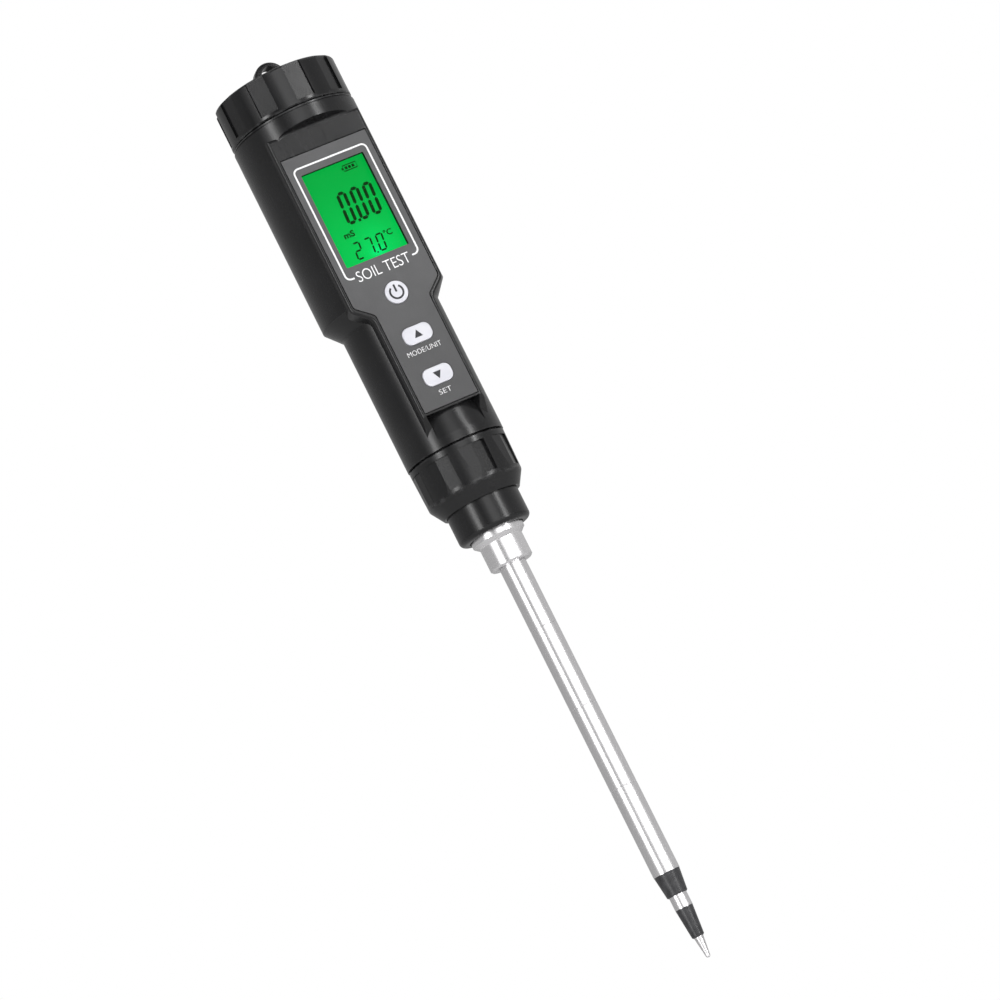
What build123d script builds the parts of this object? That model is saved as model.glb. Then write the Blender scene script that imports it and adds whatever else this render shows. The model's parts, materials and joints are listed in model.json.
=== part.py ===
from build123d import *

import os
from math import cos, radians, sin, sqrt, tan

# A hand-held soil tester pen. Millimetres, +Z up, origin at the point of the probe, on the long axis.
# The display and the keys face -Y. Heights are worked out from the tip upwards.

os.makedirs("parts", exist_ok=True)

# Sensing end
tip_length = 6.3
tip_point_radius = 0.64
tip_point_rounding = 0.3
tip_base_radius = 1.4
tip_stem_radius = 0.9
lower_insulator_length = 9.0
ring_electrode_radius = 2.65
ring_electrode_wall = 0.5
ring_exposed_length = 4.0
upper_insulator_length = 6.8
insulator_step = 0.5
insulator_edge = 0.3
insulator_inset = 0.05
tail_step = 4.0
thermistor_margin = 0.75
thermistor_length = 3.0
thermistor_edge = 0.4
thermistor_gap = 1.0
wire_radius = 0.35
wire_start = 0.5

# Rod
rod_radius = 4.0
rod_wall = 0.8
rod_exposed_length = 97.3
rod_shank_step = 0.2
rod_shank_relief = 0.3
depth_mark_pitch = 25.2
depth_mark_count = 3
depth_mark_first = 26.9
depth_mark_depth = 0.12
depth_mark_width = 0.3
potting_length = 5.8
potting_recess = 0.2

# Ferrule and probe base
ferrule_neck_length = 7.2
ferrule_length = 10.1
ferrule_wall = 2.5
ferrule_chamfer = 0.5
ferrule_flange_step = 1.5
ferrule_flange_edge = 0.15
ferrule_flange_height = 1.7
ferrule_seat_depth = 0.8
ferrule_spigot_step = 0.3
ferrule_spigot_length = 7.0
ferrule_spigot_room = 0.2
base_exposed_length = 9.2
base_edge_radius = 1.6
base_flange_step = 1.4
base_flange_height = 2.2
plug_length = 5.2
plug_edge = 0.5
plug_ring_height = 2.2
rod_socket_depth = 13.0
pin_deck_height = 5.0
pin_radius = 0.5
pin_count = 4
pin_start_angle = 45
pin_inset = 1.0
pin_tail = 1.0
pin_reach = 4.2
pin_edge = 0.3
socket_gap = 0.5
socket_shoulder_height = 2.6
socket_flange_thickness = 1.5
socket_flange_inset = 0.4

# Coupling nut
nut_length = 17.0
nut_inset = 0.2
nut_wall = 2.05
nut_cone_height = 4.2
nut_cone_wall = 0.8
nut_taper = 0.3
nut_top_edge = 0.3
nut_lip_height = 6.5
nut_panel_count = 8
nut_panel_depth = 0.6
nut_panel_share = 0.35
nut_panel_reach = 0.4
nut_panel_low = 5.3
nut_panel_high = 14.7
nut_panel_edge = -119.0
nut_groove_depth = 0.9
nut_groove_angle = 4.0
nut_panel_sweep = 34.0
nut_edge_radius = 1.2
nut_turns = 4.8
nut_thread_start = 3.0
thread_pitch = 1.5
thread_depth = 0.45
thread_rings = 4

# Housing
grip_radius = 15.0
grip_length = 42.1
shoulder_length = 4.8
head_step = 4.0
head_length = 59.0
housing_wall = 2.0
shoulder_edge_radius = 3.0
shoulder_foot_radius = 1.0
rim_ridge_height = 0.45
rim_groove_height = 0.4
rim_groove_depth = 0.7
rim_inset = 0.3
rim_edge_radius = 0.6
neck_wall = 0.9
spigot_wall = 2.6
spigot_thread_start = 1.6
neck_thread_start = 2.8
cavity_step = 0.5
cavity_margin = 0.6

# Front pad, with a round-cornered arch above it and a finger scoop with two fins below it
pad_proud = 0.2
pad_side_rim = 1.3
pad_bottom_rim = 0.8
pad_body_depth = 9.2
pad_edge_radius = 1.0
pad_waist_drop = 0.9
pad_waist_radius = 3.0
arch_rise = 7.0
arch_slope = 15.0
arch_corner_radius = 6.0
arch_root_radius = 0.8
fin_width = 1.2
fin_length = 5.2
scoop_depth = 1.2
scoop_length = 7.0
scoop_wall_angle = 20.0

# Label
label_border = 3.55
label_key_margin = 4.05
label_foot = 8.8
label_top_gap = 12.7
label_waist_drop = 0.3
label_waist_rise = 0.9
label_waist_radius = 1.8
label_corner_radius = 0.7
label_thickness = 0.35
label_recess = 0.4
label_gap = 0.3
label_groove_depth = 0.9

# Display
window_half_width = 10.0
window_foot = 10.5
window_drop = 18.6
window_corner_radius = 0.4
window_gap = 0.1
pane_thickness = 0.95
pane_border = 0.9
glass_border_side = 1.2
glass_border_end = 1.9
lcd_thickness = 2.2
diffuser_thickness = 2.1
diffuser_inset = 0.2
diffuser_corner_radius = 0.6
holder_wall = 0.9
zebra_width = 1.4
zebra_inset = 0.5
zebra_gap = 0.3

# Keys
power_drop = 1.2
power_radius = 3.4
up_drop = 13.4
down_drop = 13.1
key_width = 8.9
key_height = 5.25
key_corner_radius = 2.1
key_proud = 0.4
key_edge_radius = 0.3
key_flange = 0.8
key_flange_thickness = 0.7
key_travel = 0.3
key_plunger_radius = 1.2
key_plunger_length = 0.3
key_pocket_margin = 0.5
switch_slack = 0.05
switch_side = 6.0
switch_corner_radius = 0.4
switch_stem_radius = 1.7
switch_stem_height = 0.4

# Board and carrier
board_thickness = 1.6
board_foot = 12.7
board_upper_margin = 0.25
board_side_gap = 0.8
board_step_gap = 2.0
chip_side = 7.0
chip_height = 1.5
driver_width = 3.2
driver_length = 5.0
driver_column = 4.8
crystal_width = 2.4
crystal_length = 6.0
carrier_thickness = 1.2
carrier_upper_gap = 2.1
carrier_lower_gap = 0.2
carrier_window_width = 14.0
carrier_window_margin = 5.0
carrier_shelf_thickness = 2.0
carrier_shelf_depth = 10.0
screw_head_radius = 1.9
screw_head_height = 1.1
screw_radius = 1.0
screw_hole_gap = 0.1
screw_length = 2.2
screw_boss_radius = 2.4
screw_boss_height = 2.0
screw_boss_floor = 0.5
upper_screw_rise = 4.3
upper_screw_column = 9.0
lower_screw_drop = 8.7
lower_screw_column = 6.0

# Battery
cell_radius = 5.8
cell_height = 5.4
cell_edge_radius = 0.3
cell_count = 4
cell_gap = 0.05
cells_drop = 2.5
tube_wall = 0.9
tube_floor = 1.2
tube_exposed_cell = 3.0
tube_flange_gap = 0.6
contact_thickness = 0.4
contact_room = 0.6
contact_inset = 0.4
contact_dome_share = 0.5
contact_dome_taper = 25
contact_dome_height = 0.8
cell_clearance = 0.15
plate_inset = 0.6
plate_boss_height = 0.5
plate_boss_gap = 0.3

# Cap
cap_inset = 0.13
cap_height = 12.8
cap_flute_count = 10
cap_flute_depth = 0.77
cap_flute_centre = -87.0
cap_flute_tool = 3.0
cap_skirt_height = 1.2
cap_edge_radius = 0.8
cap_foot_edge = 0.4
cap_spigot_length = 8.4
cap_spigot_wall = 3.6
cap_ceiling = 7.2
cap_turns = 3.75
cap_thread_start = 1.2
cap_thread_rings = 3
cap_ring_drop = 1.5
eyelet_width = 9.5
eyelet_height = 7.2
eyelet_depth = 4.5
eyelet_root = 0.5
eyelet_hole_radius = 2.4
eyelet_band = 1.35
eyelet_edge_radius = 0.9

# Spring and rings
spring_radius = 3.6
spring_wire_radius = 0.35
spring_coils = 4
o_ring_section_radius = 0.75
o_ring_groove_room = 0.15

# Clearances
glue_gap = 0.04
ring_gap = 0.05
running_gap = 0.1
thread_gap = 0.15
face_gap = 0.15
key_gap = 0.15
seam_gap = 0.35
cut_overrun = 1.0

# Heights
tip_top = tip_length
lower_insulator_top = tip_top + lower_insulator_length
ring_top = lower_insulator_top + ring_exposed_length
rod_bottom = ring_top + upper_insulator_length
ferrule_bottom = rod_bottom + rod_exposed_length
ferrule_top = ferrule_bottom + ferrule_length
base_bottom = ferrule_top
rod_top = base_bottom + rod_socket_depth
rod_shank_bottom = ferrule_bottom - rod_shank_relief
nut_bottom = base_bottom + base_exposed_length
nut_lip_top = nut_bottom + nut_lip_height
flange_bottom = nut_lip_top + running_gap
flange_top = flange_bottom + base_flange_height
plug_top = flange_top + plug_length
spigot_bottom = flange_top + face_gap
grip_bottom = nut_bottom + nut_length
nut_top = grip_bottom - seam_gap
shoulder_bottom = grip_bottom + grip_length
shoulder_top = shoulder_bottom + shoulder_length
rim_top = shoulder_top + head_length
cap_bottom = rim_top + seam_gap
cap_top = rim_top + cap_height
eyelet_top = cap_top + eyelet_height
power_z = shoulder_top - power_drop
up_z = power_z - up_drop
down_z = up_z - down_drop
window_bottom = shoulder_top + window_foot
window_top = rim_top - window_drop
window_z = (window_bottom + window_top) / 2
window_height = window_top - window_bottom
label_low = down_z - label_foot
label_high = rim_top - label_top_gap
label_waist_low = shoulder_bottom - label_waist_drop
label_waist_high = shoulder_top - label_waist_rise
pad_bottom = label_low - pad_bottom_rim
fin_bottom = pad_bottom - fin_length
arch_top = label_high + arch_rise

# Radii
rod_bore_radius = rod_radius - rod_wall
rod_shank_radius = rod_radius - rod_shank_step
ferrule_radius = rod_radius + ferrule_wall
ferrule_flange_radius = ferrule_radius + ferrule_flange_step
ferrule_spigot_radius = ferrule_radius + ferrule_spigot_step
ferrule_bore_radius = rod_shank_radius + glue_gap
ring_bore_radius = ring_electrode_radius - ring_electrode_wall
upper_tail_radius = rod_bore_radius - glue_gap
lower_tail_radius = ring_bore_radius - glue_gap
pin_circle_radius = rod_bore_radius - pin_inset
nut_top_radius = grip_radius - nut_inset
nut_bore_radius = nut_top_radius - nut_wall
spigot_radius = nut_bore_radius - thread_gap
spigot_bore_radius = spigot_radius - spigot_wall
plug_radius = spigot_bore_radius - thread_gap
base_flange_radius = spigot_radius - 2 * running_gap
base_radius = base_flange_radius - base_flange_step
nut_lip_radius = base_radius + running_gap
nut_cone_radius = nut_lip_radius + nut_cone_wall
head_radius = grip_radius + head_step
cap_radius = head_radius - cap_inset

# Depths behind the front, as distances from the axis towards -Y
pad_face = grip_radius + pad_proud
label_floor = pad_face - label_recess
key_front = pad_face + key_proud
wall_inside = pad_face - housing_wall
key_back = wall_inside - running_gap - key_flange_thickness
switch_front = key_back - key_plunger_length - key_travel - switch_slack
lcd_front = wall_inside - running_gap
lcd_ledge = lcd_front - lcd_thickness / 2
lcd_back = lcd_front - lcd_thickness
diffuser_front = lcd_back - glue_gap
diffuser_back = diffuser_front - diffuser_thickness
board_front = diffuser_back - running_gap
board_back = board_front - board_thickness
carrier_front = board_back - running_gap
carrier_back = carrier_front - carrier_thickness

# Radii of the neck and of what turns in it
neck_radius = pad_face - neck_wall
cap_spigot_radius = neck_radius - thread_gap
cap_cavity_radius = cap_spigot_radius - cap_spigot_wall
tube_bore_radius = cell_radius + cell_clearance
tube_radius = tube_bore_radius + tube_wall
grip_cavity_radius = grip_radius - housing_wall
head_cavity_radius = head_radius - housing_wall

# Widths of the display, the label and the pad
pane_half_width = window_half_width + pane_border
glass_half_width = window_half_width + glass_border_side
glass_height = window_height + 2 * glass_border_end
holder_half_width = glass_half_width + running_gap + holder_wall
holder_height = glass_height + 2 * (running_gap + holder_wall)
label_upper_half_width = window_half_width + label_border
label_lower_half_width = key_width / 2 + label_key_margin
pad_upper_half_width = label_upper_half_width + pad_side_rim
pad_lower_half_width = label_lower_half_width + pad_side_rim
slot_half_width = pad_lower_half_width - fin_width


def key_outline(grow):
    """Outline of one rectangular key, centred on the current location."""
    RectangleRounded(key_width + 2 * grow, key_height + 2 * grow, key_corner_radius + grow)


# Probe tip: blunt metal point with a stem that runs up inside the insulator
tail_tops = [rod_bottom + tail_step * step for step in range(1, 5)]
upper_tail_top, ring_tail_top, lower_tail_top, stem_top = tail_tops
with BuildPart() as probe_tip:
    with BuildSketch(Plane.XZ):
        with BuildLine():
            Polyline(
                (0, 0),
                (tip_point_radius - tip_point_rounding, 0),
                (tip_point_radius, tip_point_rounding),
                (tip_base_radius, tip_top),
                (tip_stem_radius, tip_top),
                (tip_stem_radius, stem_top),
                (0, stem_top),
                close=True,
            )
        make_face()
    revolve(axis=Axis.Z)
probe_tip.part.label = "probe_tip"
export_step(probe_tip.part, "parts/probe_tip.step")

# Lower insulator: black taper between tip and ring electrode
lower_insulator_foot = tip_base_radius + insulator_step - insulator_inset
with BuildPart() as lower_insulator:
    with BuildSketch(Plane.XZ):
        with BuildLine():
            Polyline(
                (tip_stem_radius + glue_gap, tip_top + glue_gap),
                (lower_insulator_foot - insulator_edge, tip_top + glue_gap),
                (lower_insulator_foot, tip_top + glue_gap + insulator_edge),
                (ring_electrode_radius - insulator_inset, lower_insulator_top - glue_gap),
                (lower_tail_radius, lower_insulator_top - glue_gap),
                (lower_tail_radius, lower_tail_top),
                (tip_stem_radius + glue_gap, lower_tail_top),
                close=True,
            )
        make_face()
    revolve(axis=Axis.Z)
lower_insulator.part.label = "lower_insulator"
export_step(lower_insulator.part, "parts/lower_insulator.step")

# Ring electrode: thin stainless tube that shows between the two insulators
with BuildPart() as ring_electrode:
    with BuildSketch(Plane.XY.offset(lower_insulator_top)):
        Circle(ring_electrode_radius)
        Circle(ring_bore_radius, mode=Mode.SUBTRACT)
    extrude(amount=ring_tail_top - lower_insulator_top)
ring_electrode.part.label = "ring_electrode"
export_step(ring_electrode.part, "parts/ring_electrode.step")

# Upper insulator: black taper below the rod, with a tail inside the rod
with BuildPart() as upper_insulator:
    with BuildSketch(Plane.XZ):
        with BuildLine():
            Polyline(
                (ring_electrode_radius + glue_gap, ring_top),
                (ring_electrode_radius + insulator_step - insulator_edge, ring_top),
                (ring_electrode_radius + insulator_step, ring_top + insulator_edge),
                (rod_radius - 2 * insulator_inset, rod_bottom - glue_gap),
                (upper_tail_radius, rod_bottom - glue_gap),
                (upper_tail_radius, upper_tail_top),
                (ring_electrode_radius + glue_gap, upper_tail_top),
                close=True,
            )
        make_face()
    revolve(axis=Axis.Z)
upper_insulator.part.label = "upper_insulator"
export_step(upper_insulator.part, "parts/upper_insulator.step")

# Probe rod: stainless tube with engraved depth rings, turned down where it enters the ferrule
with BuildPart() as probe_rod:
    with BuildSketch(Plane.XY.offset(rod_bottom)):
        Circle(rod_radius)
    extrude(amount=rod_shank_bottom - rod_bottom)
    with BuildSketch(Plane.XY.offset(rod_shank_bottom)):
        Circle(rod_shank_radius)
    extrude(amount=rod_top - rod_shank_bottom)
    with BuildSketch(Plane.XY.offset(rod_bottom)):
        Circle(rod_bore_radius)
    extrude(amount=rod_top - rod_bottom, mode=Mode.SUBTRACT)
    with BuildSketch(Plane.XZ):
        for mark in range(depth_mark_count):
            mark_z = rod_bottom + depth_mark_first + mark * depth_mark_pitch
            with BuildLine():
                Polyline(
                    (rod_radius + depth_mark_depth, mark_z - depth_mark_width),
                    (rod_radius - depth_mark_depth, mark_z),
                    (rod_radius + depth_mark_depth, mark_z + depth_mark_width),
                    close=True,
                )
            make_face()
    revolve(axis=Axis.Z, mode=Mode.SUBTRACT)
probe_rod.part.label = "probe_rod"
export_step(probe_rod.part, "parts/probe_rod.step")

# Thermistor bead on the axis, above the stem of the tip
thermistor_low = stem_top + thermistor_gap
with BuildPart() as thermistor:
    with BuildSketch(Plane.XY.offset(thermistor_low)):
        Circle(pin_circle_radius - wire_radius - thermistor_margin)
    extrude(amount=thermistor_length)
    fillet(thermistor.edges(), thermistor_edge)
thermistor.part.label = "thermistor"
export_step(thermistor.part, "parts/thermistor.step")

# Lead wires from the sensing end up to the plug's pins
pin_tail_bottom = plug_top - pin_deck_height - pin_tail
wire_bottom = stem_top + wire_start
with BuildPart() as lead_wires:
    with BuildSketch(Plane.XY.offset(wire_bottom)):
        with PolarLocations(pin_circle_radius, pin_count, pin_start_angle):
            Circle(wire_radius)
    extrude(amount=pin_tail_bottom - glue_gap - wire_bottom)
lead_wires.part.label = "lead_wires"
export_step(lead_wires.part, "parts/lead_wires.step")

# Potting that seals the top of the rod round the wires
with BuildPart() as rod_potting:
    with BuildSketch(Plane.XY.offset(rod_top - potting_recess)):
        Circle(rod_bore_radius - glue_gap)
        with PolarLocations(pin_circle_radius, pin_count, pin_start_angle):
            Circle(wire_radius + glue_gap, mode=Mode.SUBTRACT)
    extrude(amount=-potting_length)
rod_potting.part.label = "rod_potting"
export_step(rod_potting.part, "parts/rod_potting.step")

# Ferrule: bright metal collar with a flange and a threaded spigot in the probe base
ferrule_flange_bottom = ferrule_top - ferrule_flange_height
with BuildPart() as ferrule:
    with BuildSketch(Plane.XZ):
        with BuildLine():
            Polyline(
                (ferrule_bore_radius, ferrule_bottom),
                (ferrule_radius - ferrule_chamfer, ferrule_bottom),
                (ferrule_radius, ferrule_bottom + ferrule_chamfer),
                (ferrule_radius, ferrule_bottom + ferrule_neck_length),
                (ferrule_flange_radius - ferrule_flange_edge, ferrule_flange_bottom),
                (ferrule_flange_radius, ferrule_flange_bottom + ferrule_flange_edge),
                (ferrule_flange_radius, ferrule_top + ferrule_seat_depth),
                (ferrule_spigot_radius, ferrule_top + ferrule_seat_depth),
                (ferrule_spigot_radius, ferrule_top + ferrule_spigot_length),
                (ferrule_bore_radius, ferrule_top + ferrule_spigot_length),
                close=True,
            )
        make_face()
    revolve(axis=Axis.Z)
ferrule.part.label = "ferrule"
export_step(ferrule.part, "parts/ferrule.step")

# Probe base: sleeve below the nut, flange inside it, plug with an O-ring groove above
ferrule_seat_top = base_bottom + ferrule_seat_depth + glue_gap
ferrule_seat_radius = ferrule_flange_radius + seam_gap
spigot_seat_top = base_bottom + ferrule_spigot_length + ferrule_spigot_room
plug_ring_z = flange_top + plug_ring_height
plug_ring_radius = spigot_bore_radius - ring_gap - o_ring_section_radius
ring_groove_height = 2 * (o_ring_section_radius + o_ring_groove_room)
with BuildPart() as probe_base:
    with BuildSketch(Plane.XZ):
        with BuildLine():
            foot_start = (base_radius - base_edge_radius, base_bottom)
            foot_line = Line((ferrule_seat_radius, base_bottom), foot_start)
            foot_end = (base_radius, base_bottom + base_edge_radius)
            foot_arc = RadiusArc(foot_line @ 1, foot_end, -base_edge_radius)
            Polyline(
                foot_arc @ 1,
                (base_radius, flange_bottom),
                (base_flange_radius, flange_bottom),
                (base_flange_radius, flange_top),
                (plug_radius, flange_top),
                (plug_radius, plug_top - plug_edge),
                (plug_radius - plug_edge, plug_top),
                (0, plug_top),
                (0, plug_top - pin_deck_height),
                (rod_bore_radius, plug_top - pin_deck_height),
                (rod_bore_radius, rod_top + glue_gap),
                (ferrule_bore_radius, rod_top + glue_gap),
                (ferrule_bore_radius, spigot_seat_top),
                (ferrule_spigot_radius + glue_gap, spigot_seat_top),
                (ferrule_spigot_radius + glue_gap, ferrule_seat_top),
                (ferrule_seat_radius, ferrule_seat_top),
                foot_line @ 0,
            )
        make_face()
    revolve(axis=Axis.Z)
    with BuildSketch(Plane.XY.offset(plug_ring_z - ring_groove_height / 2)):
        Circle(base_flange_radius)
        Circle(plug_ring_radius - o_ring_section_radius - glue_gap, mode=Mode.SUBTRACT)
    extrude(amount=ring_groove_height, mode=Mode.SUBTRACT)
    with BuildSketch(Plane.XY.offset(plug_top)):
        with PolarLocations(pin_circle_radius, pin_count, pin_start_angle):
            Circle(pin_radius + glue_gap)
    extrude(amount=-pin_deck_height, mode=Mode.SUBTRACT)
probe_base.part.label = "probe_base"
export_step(probe_base.part, "parts/probe_base.step")

# O-ring on the plug
with BuildPart() as probe_o_ring:
    with BuildSketch(Plane.XZ):
        with Locations((plug_ring_radius, plug_ring_z)):
            Circle(o_ring_section_radius)
    revolve(axis=Axis.Z)
probe_o_ring.part.label = "probe_o_ring"
export_step(probe_o_ring.part, "parts/probe_o_ring.step")

# Connector pins through the plug's deck
pin_top = plug_top + pin_reach
with BuildPart() as connector_pins:
    with BuildSketch(Plane.XY.offset(pin_tail_bottom)):
        with PolarLocations(pin_circle_radius, pin_count, pin_start_angle):
            Circle(pin_radius)
    extrude(amount=pin_top - pin_tail_bottom)
    fillet(connector_pins.edges().group_by(Axis.Z)[-1], pin_edge)
connector_pins.part.label = "connector_pins"
export_step(connector_pins.part, "parts/connector_pins.step")

# Connector socket in the housing's lower end, with a flange on the spigot's inner shoulder
socket_bottom = plug_top + socket_gap
socket_shoulder = grip_bottom + socket_shoulder_height
with BuildPart() as connector_socket:
    with BuildSketch(Plane.XY.offset(socket_bottom)):
        Circle(spigot_bore_radius - glue_gap)
    extrude(amount=socket_shoulder + glue_gap - socket_bottom)
    with BuildSketch(Plane.XY.offset(socket_shoulder + glue_gap)):
        Circle(grip_cavity_radius - socket_flange_inset)
    extrude(amount=socket_flange_thickness)
    with BuildSketch(Plane.XY.offset(socket_bottom)):
        with PolarLocations(pin_circle_radius, pin_count, pin_start_angle):
            Circle(pin_radius + thread_gap)
    extrude(amount=pin_top + socket_gap - socket_bottom, mode=Mode.SUBTRACT)
connector_socket.part.label = "connector_socket"
export_step(connector_socket.part, "parts/connector_socket.step")

# Coupling nut: saw-tooth grip panels outside, lip under the base's flange, thread rings inside
half_sweep = radians(nut_panel_sweep / 2)
groove_sweep = radians(nut_groove_angle)
panel_floor_radius = nut_top_radius - nut_panel_depth
panel_outer_radius = nut_top_radius + nut_panel_reach
panel_middle_radius = nut_top_radius - nut_panel_depth * nut_panel_share
with BuildSketch() as nut_panel:
    with BuildLine():
        Polyline(
            (nut_top_radius - nut_groove_depth, 0),
            (panel_outer_radius, 0),
            (panel_outer_radius * cos(half_sweep), -panel_outer_radius * sin(half_sweep)),
            (panel_outer_radius * cos(2 * half_sweep), -panel_outer_radius * sin(2 * half_sweep)),
            (nut_top_radius * cos(2 * half_sweep), -nut_top_radius * sin(2 * half_sweep)),
            (panel_middle_radius * cos(half_sweep), -panel_middle_radius * sin(half_sweep)),
            (panel_floor_radius * cos(groove_sweep), -panel_floor_radius * sin(groove_sweep)),
            close=True,
        )
    make_face()
cone_top = nut_bottom + nut_cone_height
with BuildPart() as coupling_nut:
    with BuildSketch(Plane.XZ):
        with BuildLine():
            Polyline(
                (nut_lip_radius, nut_bottom),
                (nut_cone_radius, nut_bottom),
                (nut_top_radius - nut_taper, cone_top),
                (nut_top_radius, nut_top - nut_top_edge),
                (nut_top_radius - nut_top_edge, nut_top),
                (nut_bore_radius, nut_top),
                (nut_bore_radius, nut_lip_top),
                (nut_lip_radius, nut_lip_top),
                close=True,
            )
        nut_face = make_face()
        cone_corner = nut_face.vertices().sort_by_distance((nut_top_radius, cone_top))[0]
        fillet(cone_corner, nut_edge_radius)
    revolve(axis=Axis.Z)
    with BuildSketch(Plane.XY.offset(nut_bottom + nut_panel_low)):
        with PolarLocations(0, nut_panel_count, nut_panel_edge):
            add(nut_panel.sketch)
    extrude(amount=nut_panel_high - nut_panel_low, mode=Mode.SUBTRACT)
    with BuildSketch(Plane.XZ):
        for turn in range(thread_rings):
            with Locations((nut_bore_radius, nut_lip_top + nut_thread_start + turn * thread_pitch)):
                Rectangle(2 * thread_depth, thread_pitch / 2)
    revolve(axis=Axis.Z, mode=Mode.SUBTRACT)
coupling_nut.part.label = "coupling_nut"
export_step(coupling_nut.part, "parts/coupling_nut.step")

# The hollow inside the housing: grip, head and neck, flat behind the front wall
head_cavity_top = label_high + cavity_margin
head_cavity_bottom = shoulder_top + cavity_step
with BuildPart() as cavity:
    with BuildSketch(Plane.XZ):
        with BuildLine():
            Polyline(
                (0, spigot_bottom - cut_overrun),
                (spigot_bore_radius, spigot_bottom - cut_overrun),
                (spigot_bore_radius, socket_shoulder),
                (grip_cavity_radius, socket_shoulder),
                (grip_cavity_radius, shoulder_bottom + cavity_step),
                (head_cavity_radius, head_cavity_bottom),
                (head_cavity_radius, head_cavity_top),
                (neck_radius, head_cavity_top),
                (neck_radius, rim_top + cut_overrun),
                (0, rim_top + cut_overrun),
                close=True,
            )
        make_face()
    revolve(axis=Axis.Z)
    with BuildSketch(Plane.XZ.offset(wall_inside)):
        with Locations((0, (head_cavity_top + shoulder_bottom) / 2)):
            Rectangle(2 * head_radius, head_cavity_top - shoulder_bottom)
    extrude(amount=head_radius, mode=Mode.SUBTRACT)

# Stepped face of the label, and the pocket that it lies in
with BuildSketch() as label_outline:
    with BuildLine():
        Polyline(
            (-label_lower_half_width, label_low),
            (label_lower_half_width, label_low),
            (label_lower_half_width, label_waist_low),
            (label_upper_half_width, label_waist_high),
            (label_upper_half_width, label_high),
            (-label_upper_half_width, label_high),
            (-label_upper_half_width, label_waist_high),
            (-label_lower_half_width, label_waist_low),
            close=True,
        )
    make_face()
    label_corners = label_outline.vertices().group_by(Axis.Y)
    fillet(label_corners[1] + label_corners[2], label_waist_radius)
    fillet(label_corners[0] + label_corners[3], label_corner_radius)
with BuildSketch() as label_pocket:
    offset(label_outline.sketch, amount=label_gap)

# Pad: raised front with rounded edges and round top corners, ending in two fins below
pad_waist_low = label_waist_low - pad_waist_drop
pad_waist_high = label_waist_high - pad_waist_drop
fin_foot = sqrt(grip_radius**2 - pad_lower_half_width**2)
with BuildSketch() as pad_outline:
    with BuildLine():
        Polyline(
            (-pad_upper_half_width, arch_top),
            (-pad_upper_half_width, pad_waist_high),
            (-pad_lower_half_width, pad_waist_low),
            (-pad_lower_half_width, fin_bottom),
            (pad_lower_half_width, fin_bottom),
            (pad_lower_half_width, pad_waist_low),
            (pad_upper_half_width, pad_waist_high),
            (pad_upper_half_width, arch_top),
            close=True,
        )
    make_face()
    pad_corners = pad_outline.vertices().group_by(Axis.Y)
    fillet(pad_corners[1] + pad_corners[2], pad_waist_radius)
    fillet(pad_corners[3], arch_corner_radius)
with BuildPart() as pad:
    with BuildSketch(Plane.XZ.offset(pad_face)):
        add(pad_outline.sketch)
    extrude(amount=-pad_body_depth)
    fillet(pad.faces().sort_by(Axis.Y)[0].edges(), pad_edge_radius)
    with BuildSketch(Plane.YZ.offset(-pad_upper_half_width)):
        with BuildLine():
            Polyline(
                (-pad_face, pad_bottom),
                (-fin_foot, fin_bottom),
                (-pad_face - cut_overrun, fin_bottom),
                (-pad_face - cut_overrun, pad_bottom),
                close=True,
            )
        make_face()
    extrude(amount=2 * pad_upper_half_width, mode=Mode.SUBTRACT)

# Room in front of the pad, with a sloping wall and round corners at its top
room_bottom = shoulder_bottom - cut_overrun
with BuildPart() as arch_room:
    with BuildSketch(Plane.XZ.offset(pad_face)) as arch_floor:
        with Locations((0, (room_bottom + arch_top) / 2)):
            Rectangle(2 * pad_upper_half_width, arch_top - room_bottom)
        fillet(arch_floor.vertices().group_by(Axis.Y)[-1], arch_corner_radius)
    extrude(amount=head_radius - pad_face + cut_overrun, taper=-arch_slope)
    fillet(arch_room.faces().sort_by(Axis.Y)[-1].edges(), arch_root_radius)

# Finger scoop between the fins, deepest under the pad, with sloping side walls
scoop_wall_spread = (pad_face - fin_foot) * tan(radians(scoop_wall_angle))
with BuildPart() as scoop_room:
    with BuildSketch(Plane.XZ):
        with BuildLine():
            Polyline(
                (grip_radius - scoop_depth, pad_bottom),
                (grip_radius, pad_bottom - scoop_length),
                (head_radius, pad_bottom - scoop_length),
                (head_radius, pad_bottom),
                close=True,
            )
        make_face()
    revolve(axis=Axis.Z)
    with BuildSketch(Plane.XZ.offset(fin_foot)):
        with Locations((0, pad_bottom - scoop_length / 2)):
            Rectangle(2 * (slot_half_width - scoop_wall_spread), scoop_length)
    extrude(amount=head_radius - fin_foot, taper=-scoop_wall_angle, mode=Mode.INTERSECT)

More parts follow.
